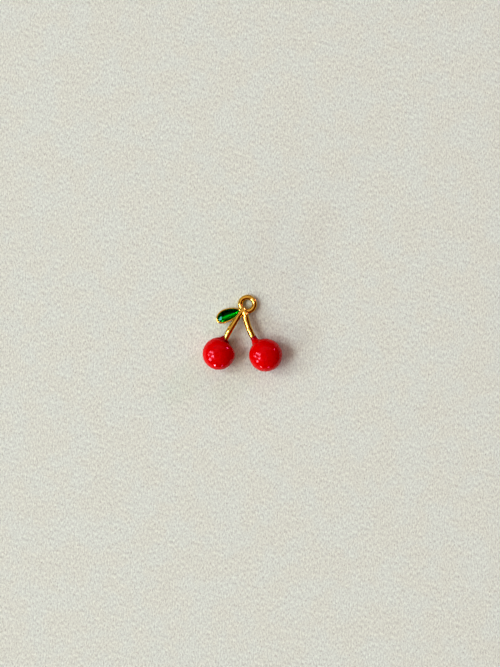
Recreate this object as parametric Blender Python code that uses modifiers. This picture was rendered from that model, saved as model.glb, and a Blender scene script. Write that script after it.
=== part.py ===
"""Cherry charm: two enamelled cherries on gold stems, with a stone-set leaf and a bail ring.

The charm is drawn in its own plane, in millimetres: x across, y towards the bail ring and
z up out of the plane. It is then tipped about X, so that it lies on its two cherries and
on the far edge of the ring, as a loose charm does on a table. The ground is world z = 0.
"""

import math

import bmesh
import bpy
from mathutils import Matrix, Vector

MM = 0.001
MERGE_DISTANCE = 1e-7

# Fit between pieces that are soldered, coated or set on each other.
FIT_GAP = 0.03

# How the charm lies: tipped by its thick end, with small flats where it touches the ground.
REST_TILT = math.radians(10.56)
REST_HEIGHT = 1.80

# Bail ring, a round wire closed into a ring.
RING_CENTRE = (0.97, 5.785, 0.0)
RING_RADIUS = 1.435
RING_WIRE_RADIUS = 0.515

# Stems: (x, y, z, wire radius) along each one, from the joint at the top into its cherry.
LEFT_STEM_ROUTE = (
    (0.12, 4.66, 0.68, 0.42),
    (-0.40, 3.66, 0.71, 0.47),
    (-1.25, 2.49, 0.66, 0.58),
    (-2.60, 0.31, 0.35, 0.62),
    (-3.35, -1.23, 0.05, 0.53),
    (-4.15, -2.95, 0.0, 0.48),
)
RIGHT_STEM_ROUTE = (
    (0.16, 4.66, 0.68, 0.42),
    (0.50, 3.72, 0.71, 0.56),
    (0.68, 2.85, 0.64, 0.64),
    (1.15, 1.05, 0.40, 0.63),
    (2.20, -1.13, 0.05, 0.58),
    (3.35, -2.75, 0.0, 0.52),
)
STEM_SPAN_STEPS = 4
STEM_DOME_STEPS = 4
STEM_BEVEL_RESOLUTION = 5

# The two stems meet in a mitre, a plane square to the charm that leans a little to the right.
MITRE_POINT = (0.14, 4.66, 0.68)
MITRE_LEAN = math.radians(9.0)
MITRE_CUTTER_SIZE = 6.0

# Cherries: a metal core that is flattened front to back, under a coat of enamel whose neck
# climbs the stem. `towards` is the point on the stem that the neck points at.
CHERRY_FLATNESS = 0.8
COAT_THICKNESS = 0.55
NECK_COAT_THICKNESS = 0.14
NECK_FILLET_RADIUS = 1.2
CHERRIES = {
    "left": {"centre": (-4.74, -4.31), "radius": 3.27, "towards": (-3.35, -1.23),
             "neck_length": 3.75, "neck_stem_radius": 0.54},
    "right": {"centre": (4.62, -4.62), "radius": 3.33, "towards": (2.2, -1.13),
              "neck_length": 4.4, "neck_stem_radius": 0.62},
}
COAT_SCREW_STEPS = 32
CORE_SEGMENTS = 24
CORE_RINGS = 14

# Leaf: a cup with a V floor that holds a faceted stone. The outline is blunt at the free end
# and narrower at the stem end: its width grows by LEAF_SPREAD per millimetre towards the free
# end, which droops by FREE_END_DROOP per square millimetre. Half lengths are (free, stem end).
LEAF_CENTRE = (-2.80, 3.69, 0.0)
LEAF_ANGLE = math.radians(20.3)
FREE_END_BLUNTNESS = 1.0
STEM_END_BLUNTNESS = 1.08
LEAF_SPREAD = 0.09
FREE_END_DROOP = 0.045
LEAF_SEGMENTS = 32
STONE_SEGMENTS = 16
# Each ring of a loft is (half length at free end, half length at stem end, half width, z).
LEAF_CUP_RINGS = (
    (1.75, 1.75, 0.66, -0.86),
    (2.30, 2.30, 1.06, -0.72),
    (2.58, 2.58, 1.27, -0.38),
    (2.66, 2.65, 1.33, -0.14),
    (2.63, 2.63, 1.31, -0.04),
    (2.56, 2.56, 1.24, 0.0),
    (2.44, 2.29, 1.13, 0.0),
    (2.38, 2.23, 1.07, -0.05),
    (2.38, 2.23, 1.07, -0.17),
    (1.60, 1.50, 0.16, -0.50),
)
LEAF_STONE_RINGS = (
    (1.35, 1.25, 0.05, -0.42),
    (2.35, 2.20, 1.04, -0.14),
    (2.35, 2.20, 1.04, -0.08),
    (1.80, 1.72, 0.70, 0.16),
    (1.22, 1.36, 0.42, 0.29),
)

MATERIALS = {
    "gold": {"colour": (0.80, 0.52, 0.16), "roughness": 0.18, "metallic": 1.0},
    "core_metal": {"colour": (0.62, 0.42, 0.20), "roughness": 0.35, "metallic": 1.0},
    "red_enamel": {"colour": (0.60, 0.004, 0.006), "roughness": 0.12, "metallic": 0.0},
    "green_stone": {"colour": (0.0, 0.22, 0.02), "roughness": 0.05, "metallic": 0.0},
}


def clear_scene():
    """Remove every object that the scene starts with."""
    for item in list(bpy.data.objects):
        bpy.data.objects.remove(item, do_unlink=True)


def make_collection(name):
    """A new collection in the scene."""
    collection = bpy.data.collections.new(name)
    bpy.context.scene.collection.children.link(collection)
    return collection


def make_material(name, colour, roughness, metallic):
    """A Principled material of one colour."""
    material = bpy.data.materials.new(name)
    material.use_nodes = True
    shader = material.node_tree.nodes["Principled BSDF"]
    shader.inputs["Base Color"].default_value = (*colour, 1.0)
    shader.inputs["Roughness"].default_value = roughness
    shader.inputs["Metallic"].default_value = metallic
    material.diffuse_color = (*colour, 1.0)
    return material


def add_object(name, mesh, collection, parent=None):
    """An object for a mesh, in a collection and under a parent."""
    item = bpy.data.objects.new(name, mesh)
    collection.objects.link(item)
    item.parent = parent
    return item


def mesh_from_bmesh(name, bm):
    """A mesh in metres from a bmesh drawn in millimetres, with its faces pointing out."""
    bmesh.ops.remove_doubles(bm, verts=bm.verts, dist=MERGE_DISTANCE / MM)
    bmesh.ops.recalc_face_normals(bm, faces=bm.faces)
    bmesh.ops.scale(bm, vec=(MM, MM, MM), verts=bm.verts)
    mesh = bpy.data.meshes.new(name)
    bm.to_mesh(mesh)
    bm.free()
    return mesh


def finish_piece(item, material, sharp_angle=40.0):
    """Give a piece its material and smooth shading with sharp edges kept."""
    item.data.materials.append(material)
    item.data.shade_smooth()
    item.data.set_sharp_from_angle(angle=math.radians(sharp_angle))


def subtract(item, cutter):
    """Cut one object with another, which stays as a wire guide."""
    modifier = item.modifiers.new("cut_by_" + cutter.name, "BOOLEAN")
    modifier.operation = "DIFFERENCE"
    modifier.object = cutter


def add_cutter(name, mesh, collection, parent=None):
    """A cutter: a wire object that isn't part of the charm."""
    cutter = add_object(name, mesh, collection, parent)
    cutter.hide_render = True
    cutter.display_type = "WIRE"
    return cutter


def spline_point(before, start, end, after, t):
    """A point on the Catmull-Rom curve from start to end."""
    return 0.5 * (
        2.0 * start
        + (end - before) * t
        + (2.0 * before - 5.0 * start + 4.0 * end - after) * t**2
        + (3.0 * start - before - 3.0 * end + after) * t**3
    )


def stem_points(route, growth):
    """Points (x, y, z, radius) of a smooth stem with a domed top, made thicker by growth."""
    knots = [Vector(knot) for knot in route]
    knots = [2.0 * knots[0] - knots[1], *knots, 2.0 * knots[-1] - knots[-2]]
    points = []
    for index in range(1, len(knots) - 2):
        before, start, end, after = knots[index - 1:index + 3]
        for step in range(STEM_SPAN_STEPS):
            points.append(spline_point(before, start, end, after, step / STEM_SPAN_STEPS))
    points.append(knots[-2].copy())
    for point in points:
        point[3] += growth
    end_direction = (points[-1].xyz - points[-2].xyz).normalized()
    points[-1] = Vector((*(points[-1].xyz + end_direction * growth), points[-1][3]))
    top = points[0]
    up = (top.xyz - points[1].xyz).normalized()
    dome = []
    for step in range(STEM_DOME_STEPS, 0, -1):
        turn = math.radians(82.0) * step / STEM_DOME_STEPS
        centre = top.xyz + up * top[3] * math.sin(turn)
        dome.append(Vector((*centre, top[3] * math.cos(turn))))
    return dome + points


def stem_mesh(name, route, growth=0.0):
    """The mesh of a stem, a round wire along its route, made thicker by growth."""
    curve = bpy.data.curves.new(name, "CURVE")
    curve.dimensions = "3D"
    curve.bevel_depth = MM
    curve.bevel_resolution = STEM_BEVEL_RESOLUTION
    curve.use_fill_caps = True
    points = stem_points(route, growth)
    spline = curve.splines.new("POLY")
    spline.points.add(len(points) - 1)
    for target, point in zip(spline.points, points):
        target.co = (*(point.xyz * MM), 1.0)
        target.radius = point[3]
    guide = bpy.data.objects.new(name + "_route", curve)
    bpy.context.scene.collection.objects.link(guide)
    depsgraph = bpy.context.evaluated_depsgraph_get()
    mesh = bpy.data.meshes.new_from_object(guide.evaluated_get(depsgraph))
    bpy.data.objects.remove(guide)
    bm = bmesh.new()
    bm.from_mesh(mesh)
    bmesh.ops.remove_doubles(bm, verts=bm.verts, dist=MERGE_DISTANCE)
    bmesh.ops.recalc_face_normals(bm, faces=bm.faces)
    bm.to_mesh(mesh)
    bm.free()
    mesh.name = name
    return mesh


def ring_mesh(name, wire_radius):
    """The bail ring as a torus lying in the charm's plane."""
    bpy.ops.mesh.primitive_torus_add(
        major_radius=RING_RADIUS * MM, minor_radius=wire_radius * MM,
        major_segments=40, minor_segments=16, location=(0.0, 0.0, 0.0))
    item = bpy.context.object
    mesh = item.data
    bpy.data.objects.remove(item)
    mesh.transform(Matrix.Translation(Vector(RING_CENTRE) * MM))
    mesh.name = name
    return mesh


def cylinder_mesh(name, radius, depth, centre):
    """A cylinder square to the charm's plane."""
    bm = bmesh.new()
    bmesh.ops.create_cone(
        bm, cap_ends=True, segments=64, radius1=radius, radius2=radius, depth=depth,
        matrix=Matrix.Translation(centre))
    return mesh_from_bmesh(name, bm)


def box_mesh(name, size, matrix):
    """A box of the given size, placed by a matrix in millimetres."""
    bm = bmesh.new()
    bmesh.ops.create_cube(bm, size=1.0)
    bmesh.ops.scale(bm, vec=size, verts=bm.verts)
    bmesh.ops.transform(bm, matrix=matrix, verts=bm.verts)
    return mesh_from_bmesh(name, bm)


def mitre_cutter_mesh(name, side):
    """A box that fills the far side of the mitre: side is +1 for the right, -1 for the left."""
    offset = side * (MITRE_CUTTER_SIZE - FIT_GAP) / 2.0
    place = (
        Matrix.Translation(MITRE_POINT)
        @ Matrix.Rotation(-MITRE_LEAN, 4, "Z")
        @ Matrix.Translation((offset, 0.0, 0.0))
    )
    return box_mesh(name, (MITRE_CUTTER_SIZE,) * 3, place)


def cherry_frame(cherry):
    """A cherry's own axes: z along its neck, y out of the charm's plane."""
    centre = Vector((*cherry["centre"], 0.0))
    neck = (Vector((*cherry["towards"], 0.0)) - centre).normalized()
    out = Vector((0.0, 0.0, 1.0))
    across = out.cross(neck)
    turn = Matrix((across, out, neck)).transposed().to_4x4()
    return Matrix.Translation(centre) @ turn


def coat_profile(cherry):
    """Half outline of a coat as (radius, height) pairs, from the neck's rim to the bottom."""
    ball = cherry["radius"]
    neck_radius = cherry["neck_stem_radius"] + NECK_COAT_THICKNESS
    fillet = NECK_FILLET_RADIUS
    reach = neck_radius + fillet
    fillet_height = math.sqrt((ball + fillet)**2 - reach**2)
    neck_length = cherry["neck_length"]
    start_turn = max(0.0, math.asin(min(1.0, (fillet_height - neck_length) / fillet)))
    end_turn = math.atan2(fillet_height, reach)
    profile = []
    if neck_length > fillet_height:
        profile.append((neck_radius, neck_length))
    fillet_steps = 5
    for step in range(fillet_steps):
        turn = start_turn + (end_turn - start_turn) * step / fillet_steps
        profile.append((reach - fillet * math.cos(turn), fillet_height - fillet * math.sin(turn)))
    ball_steps = 16
    first = math.pi / 2.0 - end_turn
    for step in range(ball_steps):
        turn = first + (math.pi - first) * step / ball_steps
        profile.append((ball * math.sin(turn), ball * math.cos(turn)))
    profile.append((0.0, -ball))
    return [(0.0, neck_length), *profile]


def flatten_ball(mesh, ball):
    """Flatten a coat front to back, less and less along the neck so that this stays round."""
    for vertex in mesh.vertices:
        along = vertex.co.z / MM
        towards_neck = min(1.0, max(0.0, (along - 0.55 * ball) / (0.45 * ball)))
        ease = towards_neck * towards_neck * (3.0 - 2.0 * towards_neck)
        vertex.co.y *= CHERRY_FLATNESS + (1.0 - CHERRY_FLATNESS) * ease


def coat_mesh(name, cherry):
    """The outside of an enamel coat: a turned ball with a filleted neck, then flattened."""
    points = [(radius * MM, 0.0, height * MM) for radius, height in coat_profile(cherry)]
    mesh = bpy.data.meshes.new(name)
    mesh.from_pydata(points, [(i, i + 1) for i in range(len(points) - 1)], [])
    guide = bpy.data.objects.new(name + "_profile", mesh)
    bpy.context.scene.collection.objects.link(guide)
    screw = guide.modifiers.new("turn", "SCREW")
    screw.axis = "Z"
    screw.angle = 2.0 * math.pi
    screw.steps = COAT_SCREW_STEPS
    screw.render_steps = COAT_SCREW_STEPS
    screw.use_merge_vertices = True
    screw.merge_threshold = MERGE_DISTANCE
    depsgraph = bpy.context.evaluated_depsgraph_get()
    turned = bpy.data.meshes.new_from_object(guide.evaluated_get(depsgraph))
    bpy.data.objects.remove(guide)
    flatten_ball(turned, cherry["radius"])
    place = cherry_frame(cherry)
    place.translation *= MM
    turned.transform(place)
    turned.name = name
    return turned


def core_mesh(name, cherry, growth=0.0):
    """A cherry's metal core, a flattened ball under the coat, made larger by growth."""
    radius = cherry["radius"] - COAT_THICKNESS + growth
    thickness = CHERRY_FLATNESS * cherry["radius"] - COAT_THICKNESS + growth
    bm = bmesh.new()
    bmesh.ops.create_uvsphere(bm, u_segments=CORE_SEGMENTS, v_segments=CORE_RINGS, radius=1.0)
    bmesh.ops.scale(bm, vec=(radius, radius, thickness), verts=bm.verts)
    bmesh.ops.translate(bm, vec=(*cherry["centre"], 0.0), verts=bm.verts)
    return mesh_from_bmesh(name, bm)


def leaf_outline(turn, free_length, stem_length, half_width):
    """A point of the leaf's outline, with x towards the stem end."""
    along = math.cos(turn)
    across = math.sin(turn)
    if along < 0.0:
        length, bluntness = free_length, FREE_END_BLUNTNESS
    else:
        length, bluntness = stem_length, STEM_END_BLUNTNESS
    x = math.copysign(length * abs(along)**bluntness, along)
    y = math.copysign(half_width * abs(across)**bluntness, across) * (1.0 - LEAF_SPREAD * x)
    return x, y - FREE_END_DROOP * min(x, 0.0)**2


def leaf_loft_mesh(name, rings, segments):
    """A closed loft through leaf outlines of different sizes and heights."""
    bm = bmesh.new()
    circle = bmesh.ops.create_circle(bm, cap_ends=True, segments=segments, radius=1.0)
    loop = circle["verts"]
    turns = [math.atan2(vertex.co.y, vertex.co.x) for vertex in loop]
    edges = [edge for edge in bm.edges]
    for number, (free_length, stem_length, half_width, height) in enumerate(rings):
        if number:
            grown = bmesh.ops.extrude_edge_only(bm, edges=edges)["geom"]
            edges = [part for part in grown if isinstance(part, bmesh.types.BMEdge)
                     and all(len(vertex.link_faces) == 2 for vertex in part.verts)]
            new_verts = {vertex for edge in edges for vertex in edge.verts}
            loop = [min(new_verts, key=lambda new, old=old: (new.co - old.co).length)
                    for old in loop]
        for vertex, turn in zip(loop, turns):
            x, y = leaf_outline(turn, free_length, stem_length, half_width)
            vertex.co = (x, y, height)
    bmesh.ops.contextual_create(bm, geom=edges)
    place = Matrix.Translation(LEAF_CENTRE) @ Matrix.Rotation(LEAF_ANGLE, 4, "Z")
    bmesh.ops.transform(bm, matrix=place, verts=bm.verts)
    return mesh_from_bmesh(name, bm)


def build_ring(parts, parent, ground, gold):
    """The bail ring, with a small flat where it touches the ground."""
    ring = add_object("bail_ring", ring_mesh("bail_ring", RING_WIRE_RADIUS), parts, parent)
    finish_piece(ring, gold)
    subtract(ring, ground)


def build_stems(parts, cutters, parent, gold):
    """Both stems, mitred to each other and saddled over the ring. Returns their clearances."""
    ring_room = add_cutter(
        "ring_clearance", ring_mesh("ring_clearance", RING_WIRE_RADIUS + FIT_GAP), cutters, parent)
    clearances = {}
    for side, route, far_side in (("left", LEFT_STEM_ROUTE, 1.0), ("right", RIGHT_STEM_ROUTE, -1.0)):
        stem = add_object(side + "_stem", stem_mesh(side + "_stem", route), parts, parent)
        finish_piece(stem, gold)
        name = side + "_stem_mitre"
        subtract(stem, add_cutter(name, mitre_cutter_mesh(name, far_side), cutters, parent))
        subtract(stem, ring_room)
        name = side + "_stem_clearance"
        clearances[side] = add_cutter(name, stem_mesh(name, route, FIT_GAP), cutters, parent)
    return clearances


def build_cherries(parts, cutters, parent, ground, stem_rooms, core_metal, enamel):
    """Each cherry as a drilled core inside an enamel coat that is open at the stem."""
    for side, cherry in CHERRIES.items():
        core_name = side + "_cherry_core"
        core = add_object(core_name, core_mesh(core_name, cherry), parts, parent)
        finish_piece(core, core_metal)
        subtract(core, stem_rooms[side])
        coat_name = side + "_cherry_enamel"
        coat = add_object(coat_name, coat_mesh(coat_name, cherry), parts, parent)
        finish_piece(coat, enamel)
        room_name = core_name + "_clearance"
        room = add_cutter(room_name, core_mesh(room_name, cherry, FIT_GAP), cutters, parent)
        subtract(coat, room)
        subtract(coat, stem_rooms[side])
        subtract(coat, ground)


def build_leaf(parts, cutters, parent, gold, stone):
    """The leaf: a cup whose end is filed to the ring, and the stone that it holds."""
    cup = add_object(
        "leaf_cup", leaf_loft_mesh("leaf_cup", LEAF_CUP_RINGS, LEAF_SEGMENTS), parts, parent)
    finish_piece(cup, gold)
    ring_reach = RING_RADIUS + RING_WIRE_RADIUS + FIT_GAP
    name = "leaf_end_cut"
    mesh = cylinder_mesh(name, ring_reach, 4.0, RING_CENTRE)
    subtract(cup, add_cutter(name, mesh, cutters, parent))
    gem = add_object(
        "leaf_stone", leaf_loft_mesh("leaf_stone", LEAF_STONE_RINGS, STONE_SEGMENTS), parts, parent)
    finish_piece(gem, stone, sharp_angle=5.0)


def centre_on_origin(parts, parent):
    """Move the charm along the ground until its box is centred on the origin."""
    bpy.context.view_layer.update()
    depsgraph = bpy.context.evaluated_depsgraph_get()
    corners = []
    for item in parts.objects:
        shape = item.evaluated_get(depsgraph)
        corners.extend(shape.matrix_world @ vertex.co for vertex in shape.data.vertices)
    for axis in (0, 1):
        values = [corner[axis] for corner in corners]
        parent.location[axis] -= (min(values) + max(values)) / 2.0


def main():
    """Build the charm."""
    clear_scene()
    parts = make_collection("cherry_charm")
    cutters = make_collection("cutters")
    materials = {name: make_material(name, **look) for name, look in MATERIALS.items()}

    resting_plane = bpy.data.objects.new("resting_plane", None)
    bpy.context.scene.collection.objects.link(resting_plane)
    resting_plane.rotation_euler.x = -REST_TILT
    resting_plane.location.z = REST_HEIGHT * MM

    ground_mesh = box_mesh("ground", (40.0, 40.0, 4.0), Matrix.Translation((0.0, 0.0, -2.0)))
    ground = add_cutter("ground", ground_mesh, cutters)

    build_ring(parts, resting_plane, ground, materials["gold"])
    stem_rooms = build_stems(parts, cutters, resting_plane, materials["gold"])
    build_cherries(parts, cutters, resting_plane, ground, stem_rooms,
                   materials["core_metal"], materials["red_enamel"])
    build_leaf(parts, cutters, resting_plane, materials["gold"], materials["green_stone"])
    centre_on_origin(parts, resting_plane)


main()
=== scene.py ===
"""Cherry charm: two enamelled cherries on cast gold stems, with a green stone as the leaf.

Every piece is drawn in the charm's own plane, in millimetres: x across, y towards the bail
ring and z up out of the plane. One matrix then lays the charm on the ground, in metres.
"""

import math

import bmesh
import bpy
import numpy as np
from bpy.props import FloatProperty, FloatVectorProperty, PointerProperty
from mathutils import Matrix, Vector, noise


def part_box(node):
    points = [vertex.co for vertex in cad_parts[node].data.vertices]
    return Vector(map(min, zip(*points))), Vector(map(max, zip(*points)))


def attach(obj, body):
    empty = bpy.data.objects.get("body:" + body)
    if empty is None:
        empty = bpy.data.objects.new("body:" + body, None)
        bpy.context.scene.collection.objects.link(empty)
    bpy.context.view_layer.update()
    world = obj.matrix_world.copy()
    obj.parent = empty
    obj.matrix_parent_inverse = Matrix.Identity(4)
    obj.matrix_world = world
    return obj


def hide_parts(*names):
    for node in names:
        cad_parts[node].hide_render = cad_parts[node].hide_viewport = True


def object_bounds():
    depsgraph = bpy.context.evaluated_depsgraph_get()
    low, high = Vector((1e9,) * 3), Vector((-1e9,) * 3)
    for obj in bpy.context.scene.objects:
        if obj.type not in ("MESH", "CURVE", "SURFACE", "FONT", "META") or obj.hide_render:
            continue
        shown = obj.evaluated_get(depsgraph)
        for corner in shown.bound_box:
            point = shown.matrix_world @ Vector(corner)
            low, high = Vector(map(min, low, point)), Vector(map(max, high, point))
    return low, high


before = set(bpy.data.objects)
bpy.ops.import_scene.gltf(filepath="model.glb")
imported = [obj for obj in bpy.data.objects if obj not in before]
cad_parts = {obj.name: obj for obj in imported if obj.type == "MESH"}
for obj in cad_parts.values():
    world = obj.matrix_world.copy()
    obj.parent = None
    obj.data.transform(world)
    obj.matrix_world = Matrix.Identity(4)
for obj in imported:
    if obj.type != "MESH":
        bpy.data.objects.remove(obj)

bl_info = {
    "name": "Cherry Charm",
    "version": (1, 0, 0),
    "blender": (4, 5, 0),
    "location": "3D View > Sidebar > Charm",
    "description": "Builds an enamelled cherry charm with gold stems and a stone-set leaf",
    "category": "Object",
}

CAD_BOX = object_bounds()

# A millimetre, in metres.
MM = 0.001

# Points this close are one point, in the units of the mesh that they are in.
MERGE_DISTANCE = 1e-5

# How the charm lies: tipped by its thick end, on its two cherries and the bail ring.
REST_TILT = math.radians(10.56)

# Bail ring: where its centre stands in the charm's plane.
RING_CENTRE = (0.97, 5.785, 0.0)

# Stems: (x, y, z, radius) along each one, from the joint at the top into its cherry.
STEM_ROUTES = {
    "left": (
        (0.12, 4.66, 0.68, 0.42),
        (-0.40, 3.66, 0.71, 0.47),
        (-1.25, 2.49, 0.66, 0.58),
        (-2.60, 0.31, 0.35, 0.62),
        (-3.35, -1.23, 0.05, 0.53),
        (-4.15, -2.95, 0.0, 0.48),
    ),
    "right": (
        (0.16, 4.66, 0.68, 0.42),
        (0.50, 3.72, 0.71, 0.56),
        (0.68, 2.85, 0.64, 0.64),
        (1.15, 1.05, 0.40, 0.63),
        (2.20, -1.13, 0.05, 0.58),
        (3.35, -2.75, 0.0, 0.52),
    ),
}

# Points of a stem's path between two of its knots, and how many of them one section of its
# tube takes up.
STEM_STEPS = 24
SECTION_STRIDE = 6

# Wirework: corners of a wire's section, steps of the ring, and the cells of the rough skin that
# is then settled on to the exact shape.
WIRE_SEGMENTS = 24
RING_STEPS = 96
SKIN_CELL = 0.05

# As shares of the joint softness: how softly the stems meet the ring, and how far the painted shade
# at a joint reaches.
RING_JOINT_SOFTNESS = 0.7
PAINTED_SHADE_REACH = 0.6

# The wires' slow unevenness: two waves, in radians a millimetre along x, y and z, and where the
# second one starts.
FIRST_WAVE = (2.3, 3.1, 1.7)
SECOND_WAVE = (-4.1, 2.2, 2.9)
SECOND_WAVE_START = 1.3

# Cherries. Each has its own axes: z along the neck, y out of the charm and x to the left as the
# charm is seen. Heights are along the neck from the ball's centre.
#   centre, radius: the ball, and `towards`: a point that its neck points at.
#   neck, stem: the height of the turned coat's edge and the stem's radius there.
#   rim: where the enamel ends on the stem's left, front, right and back.
#   stretch_from: the height above which the coat is stretched to meet that rim.
#   thin_from: the heights where the enamel starts to thin out, at the left and at the right.
#   dent: degrees from the ball's foot up its right side, depth, and width in degrees.
#   seed: sets its waves and lumps apart from the other cherry's.
CHERRIES = {
    "left": {
        "centre": (-4.74, -4.31), "radius": 3.27, "towards": (-3.35, -1.23),
        "neck": 3.75, "stem": 0.54, "rim": (3.85, 3.08, 3.2, 3.6), "stretch_from": 2.0,
        "thin_from": (3.6, 3.0), "dent": (138.0, 0.22, 23.0), "seed": 3.0,
    },
    "right": {
        "centre": (4.62, -4.62), "radius": 3.33, "towards": (2.2, -1.13),
        "neck": 4.35, "stem": 0.60, "rim": (4.42, 4.40, 4.38, 4.36), "stretch_from": 3.0,
        "thin_from": (3.7, 3.0), "seed": 11.0,
    },
}

# Steps of a coat's outline along its ball, fillet, neck, bore and inside, and about its axis.
BALL_STEPS = 72
FILLET_STEPS = 18
NECK_STEPS = 8
BORE_STEPS = 6
INSIDE_STEPS = 40
TURN_STEPS = 128

# Enamel: the radius of the fillet between ball and neck, the thickness of the edge on the stem
# and the share of it that is rounded, the least thickness and the curve of the part that thins
# out, the length of the zone where the colour darkens towards the rim, and how far inside the
# stem's radius a point is on the bore.
NECK_FILLET = 1.2
LIP = 0.03
LIP_ROUNDING = 0.7
LEAST_COVER = 0.045
THINNING_POWER = 1.6
DARK_ZONE = 0.9
BORE_MARGIN = 0.01

# How far the enamel's edge wavers, three and seven times round the stem.
BROAD_WAVER = 0.03
FINE_WAVER = 0.02

# As shares of a ball's radius: the heights from which the coat bends to follow its stem, takes
# on the stem's thickness and grows round again.
BENDS_FROM = 0.7
HUGS_STEM_FROM = 0.75
ROUND_FROM = 0.55

# Lumps: broad and fine ones, in lumps a millimetre, and the fine ones' share of the height. The
# neck takes DENT_FADE of a dent away.
BROAD_LUMPS = 0.42
FINE_LUMPS = 1.1
FINE_LUMP_HEIGHT = 0.35
DENT_FADE = 0.8

# Leaf: its width grows towards the free end by LEAF_SPREAD per millimetre, and that end droops
# by FREE_END_DROOP per square millimetre. CUP_RINGS holds (half length at the free end, half
# length at the stem end, half width, z) of each ring, from the underside over the rim to the
# floor. The stone hides what comes after CUP_SEAT_RING. Each ring has CUP_SEGMENTS corners, and
# CUP_RING_STEPS rows of faces join it to the next.
LEAF_CENTRE = (-2.80, 3.69, 0.0)
LEAF_TURN = math.radians(20.3)
FREE_END_BLUNTNESS = 1.0
STEM_END_BLUNTNESS = 1.08
LEAF_SPREAD = 0.09
FREE_END_DROOP = 0.045
CUP_RINGS = (
    (0.90, 0.90, 0.25, -0.88),
    (1.75, 1.75, 0.66, -0.86),
    (2.34, 2.30, 1.06, -0.72),
    (2.67, 2.58, 1.27, -0.38),
    (2.76, 2.65, 1.33, -0.16),
    (2.74, 2.64, 1.32, -0.08),
    (2.66, 2.59, 1.26, -0.015),
    (2.56, 2.46, 1.18, 0.015),
    (2.45, 2.30, 1.12, 0.0),
    (2.41, 2.23, 1.07, -0.06),
    (2.41, 2.22, 1.07, -0.17),
    (2.05, 1.93, 0.64, -0.32),
    (1.60, 1.50, 0.14, -0.44),
)
CUP_SEAT_RING = 10
CUP_SEGMENTS = 96
CUP_RING_STEPS = 3

# Under the stone, the cup's wall that faces away from the window gets painted shade and the rest a
# pale painted light.
# The shade grows from nothing to full between these places across and along the leaf.
PAINTED_SHADE_ACROSS = (-0.05, 0.07)
PAINTED_SHADE_ALONG = (-1.6, -1.1)

# Keel of the stone: where it ends along the leaf, and its height.
KEEL_ENDS = (-1.45, 1.35)
KEEL_HEIGHT = -0.38

# Ground: half its side and its depth under the charm, in metres.
GROUND_REACH = 1.5
GROUND_DEPTH = 0.01 * MM

# Lamps all stand this far from the charm, in metres.
LAMP_DISTANCE = 4.0

# Window: each part's azimuth and elevation in degrees, its (width, height) as shares of its
# distance and its brightness as a share of the window's.
WINDOW_PARTS = (
    ("window", 186.0, 42.0, (0.92, 0.79), 0.08),
    ("sky_far", 163.0, 42.0, (0.14, 0.50), 1.8),
    ("sky_high", 196.0, 51.0, (0.21, 0.25), 2.1),
    ("sky_low", 182.0, 24.0, (0.13, 0.17), 2.1),
    ("sky_near", 212.0, 25.0, (0.21, 0.24), 2.1),
)
DAYLIGHT = (0.97, 0.985, 1.12)

# Small lamps: each one's direction, its side as a share of its distance, brightness and tint.
WHITE = (1.0, 1.0, 1.0)
MAGENTA = (1.0, 0.45, 1.0)
SMALL_LAMPS = (
    ("lamp_low_left", (-0.38, -0.915, 0.14), 0.117, 60.0, WHITE),
    ("lamp_low_right", (0.25, -0.955, 0.16), 0.10, 24.0, MAGENTA),
    ("lamp_far_right", (0.712, 0.602, 0.340), 0.115, 34.0, MAGENTA),
)

# View: a strong, saturated look with deep darks.
VIEW_EXPOSURE = 0.085
VIEW_GAMMA = 0.8
BLACK_LEVEL = 0.010


# ---------------------------------------------------------------------------------------
# Sizes and colours


class WireSizes(bpy.types.PropertyGroup):
    """Sizes of the cast bail ring and stems."""

    ring_wire: FloatProperty(
        name="Ring wire", description="Thickness of the bail ring's wire",
        default=1.03 * MM, min=0.2 * MM, precision=5, unit="LENGTH")
    softness: FloatProperty(
        name="Joint softness", description="How wide the castings flow into each other",
        default=0.24 * MM, min=0.02 * MM, precision=5, unit="LENGTH")
    waviness: FloatProperty(
        name="Waviness", description="Height of the slow unevenness along the wires",
        default=0.009 * MM, min=0.0, precision=6, unit="LENGTH")


class LeafSizes(bpy.types.PropertyGroup):
    """Sizes of the leaf's cup and stone."""

    table: FloatProperty(
        name="Table", description="Half the width of the stone's flat top",
        default=0.42 * MM, min=0.1 * MM, precision=5, unit="LENGTH")
    crown: FloatProperty(
        name="Crown", description="Height of the stone's flat top over the cup's rim",
        default=0.34 * MM, min=0.02 * MM, precision=5, unit="LENGTH")


class CherrySizes(bpy.types.PropertyGroup):
    """Sizes of the two cherries."""

    flatness: FloatProperty(
        name="Flatness", description="Thickness of a cherry as a share of its width",
        default=0.8, min=0.3, max=1.0, subtype="FACTOR")
    coat: FloatProperty(
        name="Enamel", description="Thickness of the enamel over the core",
        default=0.50 * MM, min=0.05 * MM, precision=5, unit="LENGTH")
    neck_coat: FloatProperty(
        name="Neck enamel", description="Thickness of the enamel on the stem",
        default=0.14 * MM, min=0.02 * MM, precision=5, unit="LENGTH")
    lumps: FloatProperty(
        name="Lumps", description="Height of the slow unevenness of the enamel",
        default=0.03 * MM, min=0.0, precision=6, unit="LENGTH")


class Finishes(bpy.types.PropertyGroup):
    """Colours of the charm's finishes."""

    gold: FloatVectorProperty(
        name="Gold", description="Colour of the gold plate",
        default=(0.86, 0.57, 0.135), min=0.0, max=1.0, subtype="COLOR")
    core: FloatVectorProperty(
        name="Core metal", description="Colour of the bare metal under the enamel",
        default=(0.72, 0.46, 0.22), min=0.0, max=1.0, subtype="COLOR")
    enamel: FloatVectorProperty(
        name="Enamel", description="Colour of the red enamel",
        default=(0.59, 0.001, 0.002), min=0.0, max=1.0, subtype="COLOR")
    stone: FloatVectorProperty(
        name="Stone", description="Colour of the green stone",
        default=(0.0, 0.95, 0.19), min=0.0, max=1.0, subtype="COLOR")


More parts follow.
